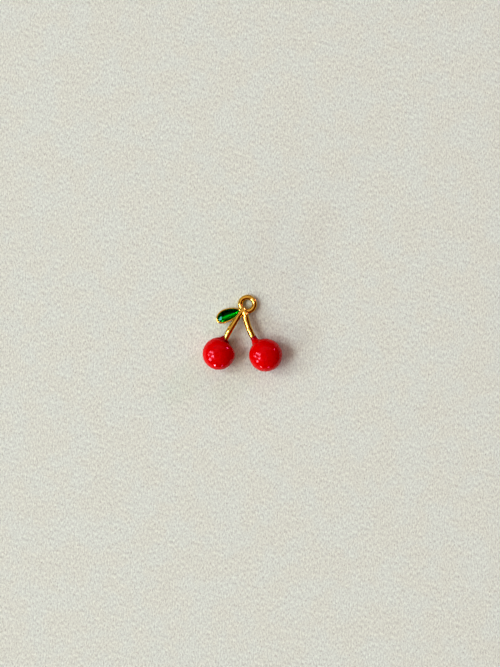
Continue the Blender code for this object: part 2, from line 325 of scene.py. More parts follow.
class StageSizes(bpy.types.PropertyGroup):
    """The ground, the lamps and the camera."""

    ground: FloatVectorProperty(
        name="Ground", description="Colour of the ground",
        default=(0.640, 0.718, 0.600), min=0.0, max=1.0, subtype="COLOR")
    window: FloatProperty(
        name="Window", description="Brightness of the window at the left", default=7.4, min=0.0)
    room: FloatProperty(
        name="Room", description="Brightness of the room's own light", default=1.0, min=0.0)
    lens: FloatProperty(
        name="Lens", description="Focal length of the camera, in millimetres",
        default=50.0, min=10.0)
    view_height: FloatProperty(
        name="View height", description="Height of the camera's view at the charm",
        default=133.4 * MM, min=5.0 * MM, precision=4, unit="LENGTH")
    aim: FloatVectorProperty(
        name="Aim", description="Where the camera looks, from the charm's middle",
        default=(1.52 * MM, -0.11 * MM), size=2, precision=5, subtype="XYZ", unit="LENGTH")


# ---------------------------------------------------------------------------------------
# Placing and making pieces


def ring_sizes(context):
    """The bail ring's middle radius and wire radius, in millimetres."""
    low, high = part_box("bail_ring")
    wire = context.scene.charm_wire.ring_wire / MM / 2.0
    return (high.x - low.x) / MM / 2.0 - wire, wire


def charm_plane(context):
    """The matrix from the charm's plane, in millimetres, to where the charm lies, in metres."""
    low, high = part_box("bail_ring")
    ring_radius, wire_radius = ring_sizes(context)
    tip = Matrix.Rotation(-REST_TILT, 4, "X")
    ring_height = high.z / MM - ring_radius * math.sin(REST_TILT) - wire_radius
    ring = Vector(((low.x + high.x) / 2.0 / MM, (low.y + high.y) / 2.0 / MM, ring_height))
    lift = ring - tip @ Vector(RING_CENTRE)
    return Matrix.Scale(MM, 4) @ Matrix.Translation(lift) @ tip


def smooth_step(value, low, high):
    """0 below low, 1 above high and an S-shaped rise between."""
    share = min(1.0, max(0.0, (value - low) / (high - low)))
    return share * share * (3.0 - 2.0 * share)


def spline_point(before, start, end, after, t):
    """A point on the Catmull-Rom curve from start to end."""
    return 0.5 * (
        2.0 * start
        + (end - before) * t
        + (2.0 * before - 5.0 * start + 4.0 * end - after) * t**2
        + (3.0 * start - before - 3.0 * end + after) * t**3
    )


def smooth_path(knots, steps):
    """Points of a smooth path through knots of any number of values, as an array."""
    knots = np.array(knots, float)
    first = 2.0 * knots[0] - knots[1]
    last = 2.0 * knots[-1] - knots[-2]
    knots = np.vstack([first, knots, last])
    points = []
    for index in range(1, len(knots) - 2):
        for step in range(steps):
            points.append(spline_point(*knots[index - 1:index + 3], step / steps))
    points.append(knots[-2])
    return np.array(points)


def sort_elements(elements, place):
    """Order the vertices, edges or faces of a bmesh by place, the same way in each run."""
    ranked = sorted(elements, key=lambda element: tuple(place(element)))
    ranks = {element: rank for rank, element in enumerate(ranked)}
    elements.sort(key=ranks.get)


def close_mesh(name, bm):
    """A mesh from a bmesh, with doubles merged, faces pointing out and a settled order."""
    bmesh.ops.remove_doubles(bm, verts=bm.verts, dist=MERGE_DISTANCE)
    bmesh.ops.dissolve_degenerate(bm, edges=bm.edges, dist=MERGE_DISTANCE)
    bmesh.ops.recalc_face_normals(bm, faces=bm.faces)
    sort_elements(bm.verts, lambda vertex: vertex.co)
    sort_elements(bm.edges, lambda edge: edge.verts[0].co + edge.verts[1].co)
    sort_elements(bm.faces, lambda face: face.calc_center_median())
    mesh = bpy.data.meshes.new(name)
    bm.to_mesh(mesh)
    bm.free()
    return mesh


def read_points(mesh):
    """The vertices of a mesh as an array."""
    points = np.empty(len(mesh.vertices) * 3)
    mesh.vertices.foreach_get("co", points)
    return points.reshape(-1, 3)


def write_points(mesh, points):
    """Put the vertices of a mesh where an array says."""
    mesh.vertices.foreach_set("co", np.asarray(points, np.float32).ravel())
    mesh.update()


def add_values(mesh, name, values):
    """Keep one number per vertex, for a material to read."""
    attribute = mesh.attributes.new(name, "FLOAT", "POINT")
    attribute.data.foreach_set("value", np.asarray(values, np.float32))


def lay_down(mesh, context):
    """Lay a mesh from the charm's plane on the ground, flat where it touches."""
    mesh.transform(charm_plane(context))
    points = read_points(mesh)
    points[:, 2] = np.maximum(points[:, 2], 0.0)
    write_points(mesh, points)


def add_piece(name, mesh, material, nodes, smooth=True):
    """Add a finished piece that rides on the charm and stands for CAD nodes."""
    piece = bpy.data.objects.new(name, mesh)
    bpy.context.scene.collection.objects.link(piece)
    mesh.materials.append(material)
    if smooth:
        mesh.shade_smooth()
    else:
        mesh.shade_flat()
    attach(piece, "root")
    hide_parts(*nodes)


# ---------------------------------------------------------------------------------------
# Shaders


class Term:
    """A socket in a shader tree; sums and products of terms add their own Math nodes."""

    def __init__(self, tree, socket=None):
        self.tree = tree
        self.socket = socket

    def node(self, kind, settings=None, sockets=None, output=0):
        """Add a node: its settings come first, then the values or links of its sockets."""
        node = self.tree.nodes.new(kind)
        for name, value in (settings or {}).items():
            setattr(node, name, value)
        for name, value in (sockets or {}).items():
            if isinstance(value, Term):
                self.tree.links.new(value.socket, node.inputs[name])
            else:
                node.inputs[name].default_value = value
        return Term(self.tree, node.outputs[output]) if node.outputs else None

    def math(self, operation, *terms):
        """A Math node over terms and numbers."""
        return self.node("ShaderNodeMath", {"operation": operation}, dict(enumerate(terms)))

    def __add__(self, other):
        return self.math("ADD", self, other)

    __radd__ = __add__

    def __sub__(self, other):
        return self.math("SUBTRACT", self, other)

    def __rsub__(self, other):
        return self.math("SUBTRACT", other, self)

    def __mul__(self, other):
        return self.math("MULTIPLY", self, other)

    def between(self, low, high):
        """0 at low, 1 at high, and an S-shaped rise between them."""
        return self.node(
            "ShaderNodeMapRange", {"interpolation_type": "SMOOTHSTEP"},
            {"Value": self, "From Min": low, "From Max": high})


def new_material(name):
    """An empty material and the start of its shader tree."""
    material = bpy.data.materials.new(name)
    material.use_nodes = True
    material.node_tree.nodes.clear()
    return material, Term(material.node_tree)


def object_mm(shader, turn=(0.0, 0.0, 0.0), stretch=(1.0, 1.0, 1.0)):
    """Object coordinates in millimetres, turned and then stretched."""
    place = shader.node("ShaderNodeTexCoord", output="Object")
    scale = tuple(side / MM for side in stretch)
    return shader.node(
        "ShaderNodeMapping", sockets={"Vector": place, "Rotation": turn, "Scale": scale})


def noise_at(place, scale, detail=2.0, roughness=0.5, distortion=0.0):
    """Noise from 0 to 1, with `scale` features a millimetre."""
    return place.node("ShaderNodeTexNoise", sockets={
        "Vector": place, "Scale": scale, "Detail": detail, "Roughness": roughness,
        "Distortion": distortion})


def mix_colours(factor, first, second):
    """Mix two colours by a factor that is a term."""
    return factor.node(
        "ShaderNodeMix", {"data_type": "RGBA"}, {0: factor, 6: first, 7: second}, output=2)


def colour(values, strength=1.0):
    """A colour with its alpha, made lighter or darker by strength."""
    return (*(value * strength for value in values), 1.0)


def bumped(height, depth):
    """The normal of a surface with a relief of the given depth, in millimetres."""
    return height.node(
        "ShaderNodeBump", sockets={"Height": height, "Distance": depth * MM})


def vertex_value(shader, name):
    """A number that the vertices of the piece keep."""
    return shader.node("ShaderNodeAttribute", {"attribute_name": name}, output="Fac")


def principled(shader, **inputs):
    """A Principled shader wired to the material's output."""
    surface = shader.node(
        "ShaderNodeBsdfPrincipled",
        sockets={name.replace("_", " "): value for name, value in inputs.items()})
    shader.node("ShaderNodeOutputMaterial", sockets={"Surface": surface})


def shared_material(make, context):
    """The material that make(finishes) makes, made only once."""
    name = "charm_" + make.__name__
    material = bpy.data.materials.get(name)
    if material is None:
        material = make(context.scene.charm_finishes)
        material.name = name
    return material


def polished_gold(finishes):
    """Bright gold plate with fine rubbing marks and pits, painted shade in its joints and on the
    leaf cup's shaded wall, and a pale painted light on the cup's lit wall under the stone.
    """
    material, shader = new_material("polished_gold")
    # The pale colour is painted light for the cup's lit wall; the dark red-brown serves both the
    # pits and the painted shade.
    painted_light_colour = colour((0.96, 0.93, 0.70))
    pit_and_shade_colour = colour((0.24, 0.04, 0.02))
    place = object_mm(shader)
    cloud = noise_at(place, 0.9, detail=3.0)
    grain = noise_at(place, 14.0, detail=4.0, roughness=0.65)
    rubbing = noise_at(
        object_mm(shader, (0.3, 0.2, 0.6), (3.0, 46.0, 30.0)), 1.0, detail=3.0, roughness=0.7)
    pits = noise_at(place, 7.0, detail=1.0).between(0.72, 0.80)
    # The vertices keep painted shade (joints and the cup's shaded wall) and painted light (the cup's
    # lit wall).
    painted_shade = vertex_value(shader, "painted_shade")
    painted_light = vertex_value(shader, "painted_light")
    plate = mix_colours(
        cloud.between(0.3, 0.7), colour(finishes.gold, 0.96), colour(finishes.gold))
    plate = mix_colours(painted_light, plate, painted_light_colour)
    # Real pits and painted shade darken the plate together.
    pits_and_painted_shade = (pits * 0.5 + painted_shade).between(0.0, 1.0)
    plate = mix_colours(pits_and_painted_shade, plate, pit_and_shade_colour)
    rough = 0.06 + cloud * 0.04 + rubbing * 0.06 + pits_and_painted_shade * 0.25 + painted_light * 0.12
    relief = grain * 0.3 + rubbing * 0.35 + noise_at(place, 2.0, detail=2.0) * 1.3 - pits * 1.4
    principled(
        shader, Base_Color=plate, Metallic=1.0, Roughness=rough,
        Normal=bumped(relief, 0.006))
    return material


def core_metal(finishes):
    """Bare cast metal, dull and grainy, under the enamel."""
    material, shader = new_material("core_metal")
    place = object_mm(shader)
    grain = noise_at(place, 9.0, detail=5.0, roughness=0.7)
    cloud = noise_at(place, 1.1, detail=3.0)
    metal = mix_colours(
        cloud.between(0.3, 0.7), colour(finishes.core, 0.7), colour(finishes.core))
    principled(
        shader, Base_Color=metal, Metallic=1.0, Roughness=0.32 + grain * 0.2,
        Normal=bumped(grain, 0.02))
    return material


def red_enamel(finishes):
    """Glossy enamel: deep red, a little uneven, darker where it thins on the stem."""
    material, shader = new_material("red_enamel")
    thin_colour = colour((0.20, 0.004, 0.003))
    highlight_tint = colour((1.0, 0.42, 0.57))
    place = object_mm(shader)
    cloud = noise_at(place, 0.55, detail=4.0, roughness=0.6)
    peel = noise_at(place, 2.1, detail=2.0, roughness=0.4)
    ripple = noise_at(place, 3.4, detail=1.0)
    fine = noise_at(place, 11.0, detail=3.0, roughness=0.6)
    pores = noise_at(place, 5.5, detail=0.0).between(0.80, 0.86)
    thin = vertex_value(shader, "thin")
    body = mix_colours(
        cloud.between(0.25, 0.75), colour(finishes.enamel, 0.93), colour(finishes.enamel))
    mottle = noise_at(place, 1.5, detail=3.0, roughness=0.6).between(0.50, 0.72)
    body = mix_colours(mottle * 0.35, body, colour(finishes.enamel, 0.5))
    body = mix_colours(thin, body, thin_colour)
    body = mix_colours(pores * 0.6, body, colour(finishes.enamel, 0.3))
    relief = peel * 0.40 + ripple * 0.11 + fine * 0.06 - pores * 0.5
    principled(
        shader, Base_Color=body, Roughness=0.07 + cloud * 0.05 + fine * 0.03 + thin * 0.1,
        IOR=1.5, Specular_Tint=highlight_tint, Normal=bumped(relief, 0.03))
    return material


def green_stone(finishes):
    """Clear green glass with polished facets, faint wisps inside and a few fine scratches."""
    material, shader = new_material("green_stone")
    highlight_tint = colour((0.25, 1.0, 0.85))
    place = object_mm(shader)
    wisps = noise_at(place, 1.6, detail=3.0, distortion=0.6)
    scratches = noise_at(
        object_mm(shader, (0.0, 0.0, 0.9), (2.0, 60.0, 2.0)), 1.0, detail=2.0).between(0.62, 0.8)
    glass = mix_colours(
        wisps.between(0.2, 0.8), colour(finishes.stone, 0.82), colour(finishes.stone))
    principled(
        shader, Base_Color=glass, Roughness=0.012 + scratches * 0.06,
        Transmission_Weight=1.0, IOR=1.4, Specular_Tint=highlight_tint,
        Normal=bumped(scratches, 0.0008))
    return material


# ---------------------------------------------------------------------------------------
# Bail ring and stems


def one_skin(mesh, voxel):
    """One closed skin over a mesh of shells that pass through each other."""
    scratch = bpy.data.objects.new("shells", mesh)
    bpy.context.scene.collection.objects.link(scratch)
    remesh = scratch.modifiers.new("one_skin", "REMESH")
    remesh.mode = "VOXEL"
    remesh.voxel_size = voxel
    depsgraph = bpy.context.evaluated_depsgraph_get()
    skin = bpy.data.meshes.new_from_object(scratch.evaluated_get(depsgraph))
    bpy.data.objects.remove(scratch)
    bpy.data.meshes.remove(mesh)
    return skin


def torus_distance(points, radius, wire):
    """How far points are from the bail ring's surface."""
    x, y, z = (points - np.array(RING_CENTRE)).T
    return np.hypot(np.hypot(x, y) - radius, z) - wire


def wire_distance(points, path):
    """How far points are from a tapered wire along a path of (x, y, z, radius)."""
    nearest = np.full(len(points), np.inf)
    for start, end in zip(path[:-1], path[1:]):
        run = end[:3] - start[:3]
        share = np.clip((points - start[:3]) @ run / (run @ run), 0.0, 1.0)
        gap = points - start[:3] - share[:, None] * run
        reach = start[3] + share * (end[3] - start[3])
        nearest = np.minimum(nearest, np.sqrt(np.einsum("ij,ij->i", gap, gap)) - reach)
    return nearest


def soft_union(first, second, softness):
    """The distance to two shapes that flow into each other."""
    blend = np.maximum(softness - np.abs(first - second), 0.0) / softness
    return np.minimum(first, second) - blend * blend * softness / 4.0


def settle(points, distance, rounds=3, step=1e-3):
    """Move points on to the surface where distance(points) is nothing."""
    for _ in range(rounds):
        gap = distance(points)
        slope = np.stack(
            [(distance(points + step * side) - gap) / step for side in np.eye(3)], axis=1)
        slope /= np.linalg.norm(slope, axis=1, keepdims=True)
        points = points - slope * gap[:, None]
    return points


def add_torus(bm, radius, wire):
    """Turn a wire's section about the ring's centre."""
    centre = Vector(RING_CENTRE)
    section = bmesh.ops.create_circle(
        bm, segments=WIRE_SEGMENTS, radius=wire,
        matrix=Matrix.Translation(centre + Vector((radius, 0.0, 0.0)))
        @ Matrix.Rotation(math.pi / 2.0, 4, "X"))
    edges = list({edge for vertex in section["verts"] for edge in vertex.link_edges})
    bmesh.ops.spin(
        bm, geom=section["verts"] + edges, cent=centre, axis=(0.0, 0.0, 1.0),
        angle=2.0 * math.pi, steps=RING_STEPS, use_merge=True)


def add_wire(bm, path):
    """Join a tube from round sections along a path of (x, y, z, radius)."""
    loops = []
    for index, point in enumerate(path):
        ahead = Vector(path[min(index + 1, len(path) - 1)][:3])
        behind = Vector(path[max(index - 1, 0)][:3])
        turn = (ahead - behind).to_track_quat("Z", "Y").to_matrix().to_4x4()
        is_end = index in (0, len(path) - 1)
        section = bmesh.ops.create_circle(
            bm, cap_ends=is_end, segments=WIRE_SEGMENTS, radius=point[3],
            matrix=Matrix.Translation(point[:3]) @ turn)
        edges = {edge for vertex in section["verts"] for edge in vertex.link_edges}
        loops.append([edge for edge in edges if len(edge.link_faces) <= is_end])
        if index:
            bmesh.ops.bridge_loops(bm, edges=loops[-2] + loops[-1])


def make_wirework(context):
    """The bail ring and both stems as one casting whose joints are soft."""
    sizes = context.scene.charm_wire
    radius, wire = ring_sizes(context)
    softness = sizes.softness / MM
    waviness = sizes.waviness / MM
    paths = {side: smooth_path(route, STEM_STEPS) for side, route in STEM_ROUTES.items()}

    bm = bmesh.new()
    add_torus(bm, radius, wire)
    for path in paths.values():
        add_wire(bm, path[::SECTION_STRIDE])
        bmesh.ops.create_uvsphere(
            bm, u_segments=WIRE_SEGMENTS, v_segments=WIRE_SEGMENTS // 2, radius=path[0][3],
            matrix=Matrix.Translation(path[0][:3]))
    skin = one_skin(close_mesh("wirework", bm), SKIN_CELL)

    def distances(points):
        wave = np.sin(points @ FIRST_WAVE) + np.sin(points @ SECOND_WAVE + SECOND_WAVE_START)
        stems = [wire_distance(points, path) for path in paths.values()]
        return torus_distance(points, radius, wire) - wave * waviness / 2.0, *stems, wave

    def surface(points):
        ring, left, right, wave = distances(points)
        stems = soft_union(left, right, softness) - wave * waviness
        return soft_union(ring, stems, softness * RING_JOINT_SOFTNESS)

    points = settle(read_points(skin), surface)
    ring, left, right, _ = distances(points)
    # Painted shade: the gold darkens where the ring and the stems meet, as the shade of a joint
    # would fall.
    pairs = ((ring, left), (ring, right), (left, right))
    reach = softness * PAINTED_SHADE_REACH
    painted_shade = [np.clip(1.0 - np.maximum(a, b) / reach, 0.0, 1.0) for a, b in pairs]
    write_points(skin, points)
    add_values(skin, "painted_shade", np.maximum.reduce(painted_shade) ** 2.0)
    lay_down(skin, context)
    gold = shared_material(polished_gold, context)
    add_piece("wirework", skin, gold, ("bail_ring", "left_stem", "right_stem"))


class CHARM_OT_wirework(bpy.types.Operator):
    """Cast the bail ring and both stems"""

    bl_idname = "charm.wirework"
    bl_label = "Ring and Stems"

    def execute(self, context):
        make_wirework(context)
        return {"FINISHED"}


# ---------------------------------------------------------------------------------------
# Leaf


def leaf_outline(turn, free_length, stem_length, half_width):
    """A point of the leaf's outline, with x towards the stem end."""
    along = math.cos(turn)
    across = math.sin(turn)
    if along < 0.0:
        length, bluntness = free_length, FREE_END_BLUNTNESS
    else:
        length, bluntness = stem_length, STEM_END_BLUNTNESS
    x = math.copysign(length * abs(along)**bluntness, along)
    y = math.copysign(half_width * abs(across)**bluntness, across) * (1.0 - LEAF_SPREAD * x)
    return x, y - FREE_END_DROOP * min(x, 0.0)**2


def leaf_place():
    """The matrix from the leaf's own axes to the charm's plane."""
    return Matrix.Translation(LEAF_CENTRE) @ Matrix.Rotation(LEAF_TURN, 4, "Z")


def make_cup(context):
    """The leaf's gold cup: a ball pulled into a boat with a rolled rim and a V floor."""
    rings = smooth_path(CUP_RINGS, CUP_RING_STEPS)
    count = len(rings) + 1
    bm = bmesh.new()
    bmesh.ops.create_uvsphere(bm, u_segments=CUP_SEGMENTS, v_segments=count, radius=1.0)
    painted_shade = bm.verts.layers.float.new("painted_shade")
    painted_light = bm.verts.layers.float.new("painted_light")
    # The ball's rows, from its foot up, take the places of the cup's rings.
    for vertex in bm.verts:
        level = round((1.0 - math.acos(max(-1.0, min(1.0, vertex.co.z))) / math.pi) * count)
        turn = math.atan2(vertex.co.y, vertex.co.x)
        if level in (0, count):
            vertex.co = (0.0, 0.0, rings[0 if level == 0 else -1][3])
        else:
            free_length, stem_length, half_width, height = rings[level - 1]
            vertex.co = (*leaf_outline(turn, free_length, stem_length, half_width), height)
        # Under the stone: painted shade on the wall that faces away from the window, pale painted
        # light on the rest.
        if level > CUP_SEAT_RING * CUP_RING_STEPS:
            dark = smooth_step(vertex.co.y, *PAINTED_SHADE_ACROSS)
            dark *= smooth_step(vertex.co.x, *PAINTED_SHADE_ALONG)
            vertex[painted_shade] = dark
            vertex[painted_light] = 1.0 - dark
    bmesh.ops.transform(bm, matrix=leaf_place(), verts=bm.verts)
    cup = close_mesh("gold_leaf_cup", bm)
    lay_down(cup, context)
    gold = shared_material(polished_gold, context)
    add_piece("gold_leaf_cup", cup, gold, ("leaf_cup",))


def make_stone(context):
    """The leaf's stone: facets from its girdle to a flat table above and a keel below."""
    sizes = context.scene.charm_leaf
    crown = sizes.crown / MM
    table = sizes.table / MM
    # Rings of corners: how many, their turn in corners, the half length at the free end and at
    # the stem end, the half width and the height.
    girdle_foot = (16, 0.0, 2.39, 2.21, 1.05, -0.14)
    girdle_top = (16, 0.0, 2.39, 2.21, 1.05, -0.08)
    shoulder = (8, 0.5, 1.66, 1.72, 0.60 + 0.25 * table, 0.60 * crown)
    flat_top = (8, 0.0, 1.05, 1.36, table, crown)
    underside = (8, 0.5, 1.98, 1.86, 0.60, -0.27)
    bm = bmesh.new()
    for count, offset, *lengths, height in (
            girdle_foot, girdle_top, shoulder, flat_top, underside):
        circle = bmesh.ops.create_circle(bm, segments=count, radius=1.0)
        for vertex in circle["verts"]:
            turn = math.atan2(vertex.co.y, vertex.co.x) + offset * 2.0 * math.pi / count
            vertex.co = (*leaf_outline(turn, *lengths), height)
    for end in KEEL_ENDS:
        bmesh.ops.create_vert(bm, co=(end, 0.0, KEEL_HEIGHT))
    bmesh.ops.convex_hull(bm, input=bm.verts)
    # The hull leaves edges and points of the circles that are no part of it.
    loose = [edge for edge in bm.edges if not edge.link_faces]
    bmesh.ops.delete(bm, geom=loose, context="EDGES")
    inside = [vertex for vertex in bm.verts if not vertex.link_faces]
    bmesh.ops.delete(bm, geom=inside, context="VERTS")
    bmesh.ops.dissolve_limit(
        bm, angle_limit=math.radians(0.5), verts=bm.verts, edges=bm.edges)
    bmesh.ops.transform(bm, matrix=leaf_place(), verts=bm.verts)
    stone = close_mesh("cut_leaf_stone", bm)
    lay_down(stone, context)
    glass = shared_material(green_stone, context)
    add_piece("cut_leaf_stone", stone, glass, ("leaf_stone",), smooth=False)


class CHARM_OT_leaf(bpy.types.Operator):
    """Make the leaf's gold cup and set its stone"""

    bl_idname = "charm.leaf"
    bl_label = "Leaf"

    def execute(self, context):
        make_cup(context)
        make_stone(context)
        return {"FINISHED"}


# ---------------------------------------------------------------------------------------
# Cherries


def cherry_axes(cherry):
    """The matrix from a cherry's own axes to the charm's plane."""
    centre = Vector((*cherry["centre"], 0.0))
    neck = (Vector((*cherry["towards"], 0.0)) - centre).normalized()
    out = Vector((0.0, 0.0, 1.0))
    turn = Matrix((out.cross(neck), out, neck)).transposed().to_4x4()
    return Matrix.Translation(centre) @ turn


def add_coat_shell(bm, cherry, coat, neck_coat):
    """Turn the outline of an enamel coat: its skin, its lip on the stem and its inside."""
    ball = cherry["radius"]
    stem = cherry["stem"]
    neck = cherry["neck"]
    reach = stem + neck_coat + NECK_FILLET
    fillet_height = math.sqrt((ball + NECK_FILLET)**2 - reach**2)
    across = (0.0, 1.0, 0.0)

    def trace(vertex, centre, angle, steps):
        spun = bmesh.ops.spin(
            bm, geom=[vertex], cent=centre, axis=across, angle=angle, steps=steps)
        return next(part for part in spun["geom_last"] if isinstance(part, bmesh.types.BMVert))

    def draw_to(vertex, x, z, steps=1):
        for step in range(steps):
            grown = bmesh.ops.extrude_vert_indiv(bm, verts=[vertex])["verts"][0]
            share = 1.0 / (steps - step)
            grown.co = vertex.co.lerp(Vector((x, 0.0, z)), share)
            vertex = grown
        return vertex

    tip = bmesh.ops.create_vert(bm, co=(0.0, 0.0, -ball))["vert"][0]
    touch = math.atan2(fillet_height, reach)
    tip = trace(tip, (0.0, 0.0, 0.0), -(math.pi / 2.0 + touch), BALL_STEPS)
    fillet_turn = touch
    if neck < fillet_height:
        fillet_turn -= math.asin((fillet_height - neck) / NECK_FILLET)
    tip = trace(tip, (reach, 0.0, fillet_height), fillet_turn, FILLET_STEPS)
    if neck > fillet_height:
        tip = draw_to(tip, tip.co.x, neck, NECK_STEPS)
    tip = draw_to(tip, (tip.co.x + stem) / 2.0, neck + LIP * LIP_ROUNDING)
    tip = draw_to(tip, stem, neck + LIP)
    inside = ball - coat
    bore = stem - LIP
    tip = draw_to(tip, bore, neck + LIP)
    tip = draw_to(tip, bore, math.sqrt(inside**2 - bore**2), BORE_STEPS)
    turn = math.pi - math.asin(bore / inside)
    tip = trace(tip, (0.0, 0.0, 0.0), turn, INSIDE_STEPS)
    tip.co.x = 0.0
    bmesh.ops.spin(
        bm, geom=bm.verts[:] + bm.edges[:], cent=(0.0, 0.0, 0.0), axis=(0.0, 0.0, 1.0),
        angle=2.0 * math.pi, steps=TURN_STEPS, use_merge=True)


def rim_height(cherry, turn):
    """Where the enamel ends on the stem, for a turn about the neck."""
    left, front, right, back = cherry["rim"]
    middle = (left + front + right + back) / 4.0
    sway = (left + right - front - back) / 4.0
    wave = BROAD_WAVER * math.sin(3.0 * turn + cherry["seed"])
    wave += FINE_WAVER * math.sin(7.0 * turn)
    return (
        middle
        + (left - right) / 2.0 * math.cos(turn)
        + (front - back) / 2.0 * math.sin(turn)
        + sway * math.cos(2.0 * turn)
        + wave
    )


def thinned(cherry, cover, turn, height, rim):
    """What is left of the enamel over the stem, where it thins out towards its rim."""
    left, right = cherry["thin_from"]
    start = left * (1.0 + math.cos(turn)) / 2.0 + right * (1.0 - math.cos(turn)) / 2.0
    share = min(1.0, max(0.0, (height - start) / (rim - start)))
    return max(cover * (1.0 - share)**THINNING_POWER, min(cover, LEAST_COVER))


def dent_depth(cherry, spot):
    """How far the cherry's dent, if it has one, pushes a spot of its coat in."""
    if "dent" not in cherry:
        return 0.0
    turn, depth, width = cherry["dent"]
    turn = math.radians(turn)
    middle = Vector((-math.sin(turn), 0.0, -math.cos(turn)))
    return depth * math.exp(-(spot.angle(middle) / math.radians(width))**2)


def shape_coat(bm, cherry, route, sizes):
    """Give a turned coat its slanting rim, its stem's course, its dent, lumps and flatness.

    It returns how close to the rim each vertex is, from 0 to 1.
    """
    ball = cherry["radius"]
    stem = cherry["stem"]
    neck = cherry["neck"]
    low = cherry["stretch_from"]
    flatness = sizes.flatness
    lumps = sizes.lumps / MM
    seed = Vector((cherry["seed"], 0.0, 0.0))
    axes = cherry_axes(cherry)
    inverse = axes.inverted()
    course = [(inverse @ Vector(point[:3]), point[3]) for point in smooth_path(route, STEM_STEPS)]
    thin = []
    for vertex in bm.verts:
        x, y, z = vertex.co
        radius = math.hypot(x, y)
        turn = math.atan2(y, x)
        on_bore = radius <= stem - BORE_MARGIN
        rim = rim_height(cherry, turn)
        height = z
        if z > low:
            height = low + (z - low) * (rim - low) / (neck - low)
        middle, girth = min(course, key=lambda step: abs(step[0].z - height))
        on_neck = smooth_step(height, BENDS_FROM * ball, ball)
        if height > HUGS_STEM_FROM * ball:
            if not on_bore:
                cover = radius - stem
                if z > neck + MERGE_DISTANCE:
                    cover = min(cover, LIP)
                else:
                    cover = thinned(cherry, cover, turn, height, rim)
                radius = stem + cover
            radius += on_neck * (girth - stem)
        roundness = smooth_step(height, ROUND_FROM * ball, ball)
        thickness = flatness + (1.0 - flatness) * roundness
        spot = Vector((radius * math.cos(turn), radius * math.sin(turn) * thickness, height))
        spot -= spot.normalized() * dent_depth(cherry, spot) * (1.0 - on_neck * DENT_FADE)
        spot += Vector((middle.x, middle.y, 0.0)) * on_neck
        if not on_bore:
            lump = noise.noise(spot * BROAD_LUMPS + seed)
            lump += FINE_LUMP_HEIGHT * noise.noise(spot * FINE_LUMPS - seed)
            spot += spot.normalized() * lump * lumps * (1.0 - on_neck)
        vertex.co = spot
        thin.append(0.0 if on_bore else smooth_step(height, rim - DARK_ZONE, rim))
    bmesh.ops.transform(bm, matrix=axes, verts=bm.verts)
    return thin


def make_cherry(context, side):
    """One cherry's coat of enamel, over its metal core."""
    sizes = context.scene.charm_cherries
    cherry = CHERRIES[side]
    bm = bmesh.new()
    add_coat_shell(bm, cherry, sizes.coat / MM, sizes.neck_coat / MM)
    bmesh.ops.remove_doubles(bm, verts=bm.verts, dist=MERGE_DISTANCE)
    layer = bm.verts.layers.float.new("thin")
    thin = shape_coat(bm, cherry, STEM_ROUTES[side], sizes)
    for vertex, value in zip(bm.verts, thin):
        vertex[layer] = value
    name = side + "_cherry_coat"
    coat = close_mesh(name, bm)
    lay_down(coat, context)
    enamel = shared_material(red_enamel, context)
    add_piece(name, coat, enamel, (side + "_cherry_enamel",))


class CHARM_OT_cherries(bpy.types.Operator):
    """Coat both cherries with enamel and finish their metal cores"""

    bl_idname = "charm.cherries"
    bl_label = "Cherries"

    def execute(self, context):
        metal = shared_material(core_metal, context)
        for side in CHERRIES:
            make_cherry(context, side)
            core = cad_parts[side + "_cherry_core"]
            core.data.materials.clear()
            core.data.materials.append(metal)
        return {"FINISHED"}


# ---------------------------------------------------------------------------------------
# Stage


def pale_ground(settings):
    """A matt pale sheet with a fibrous grain, a slow drift of colour and a few dark specks."""
    material, shader = new_material("pale_ground")
    place = object_mm(shader)
    fibres = object_mm(shader, (0.0, 0.0, math.radians(8.0)), (1.8, 0.8, 1.0))
    grain = noise_at(fibres, 2.0, detail=3.0, roughness=0.58)
    drift = noise_at(place, 0.16, detail=3.0, roughness=0.55)
    speck = noise_at(fibres, 2.6, detail=1.0).between(0.64, 0.71)
    speck_colour = colour((0.30, 0.27, 0.22))
    cooler = (0.975, 0.995, 1.015)
    cream = colour(settings.ground)
    grey = colour(value * share for value, share in zip(settings.ground, cooler))
    sheet = mix_colours(drift.between(0.40, 0.62), cream, grey)
    sheet = mix_colours(speck * 0.42, sheet, speck_colour)
    shade = 1.0 + (grain - 0.5) * 0.95 + (drift - 0.5) * 0.08
    scale = shader.node(
        "ShaderNodeVectorMath", {"operation": "SCALE"}, {0: sheet, "Scale": shade})
    principled(
        shader, Base_Color=scale, Roughness=0.85, Specular_IOR_Level=0.2,
        Normal=bumped(grain, 0.03))
    return material


def room_light(settings):
    """The room's own light, and a plain wall for the camera to see.

    The ceiling is pale with a dark middle and leans 15 degrees to the left. The far side is
    pale, the left glows a little and the other walls are dim and red.
    """
    dim_colour = colour((1.0, 0.20, 0.10))
    pale_colour = colour((1.0, 0.84, 0.74))
    seen_colour = colour((0.69, 0.69, 0.62))
    world = bpy.data.worlds.new("room")
    bpy.context.scene.world = world
    world.use_nodes = True
    world.node_tree.nodes.clear()
    shader = Term(world.node_tree)
    direction = shader.node("ShaderNodeTexCoord", output="Generated")
    parts = direction.node("ShaderNodeSeparateXYZ", sockets={"Vector": direction})
    x, y, z = (Term(shader.tree, parts.socket.node.outputs[axis]) for axis in "XYZ")
    left = (x * -0.97 + y * 0.25).between(0.0, 0.95)
    far = y.between(0.40, 0.68) * z.between(0.32, 0.60) * 0.75
    overhead = z * 0.966 - x * 0.259
    ceiling = overhead.between(0.77, 0.90) * (1.0 - overhead.between(0.955, 0.985) * 0.6)
    light = 0.15 + left * 0.10 + far + ceiling * 0.60
    pale = (left + ceiling + far).between(0.0, 0.5)
    hue = mix_colours(pale, dim_colour, pale_colour)
    room = shader.node(
        "ShaderNodeBackground", sockets={"Color": hue, "Strength": light * settings.room})
    wall = shader.node(
        "ShaderNodeBackground", sockets={"Color": seen_colour, "Strength": 1.0})
    seen = shader.node("ShaderNodeLightPath", output="Is Camera Ray")
    either = shader.node("ShaderNodeMixShader", sockets={0: seen, 1: room, 2: wall})
    shader.node("ShaderNodeOutputWorld", sockets={"Surface": either})


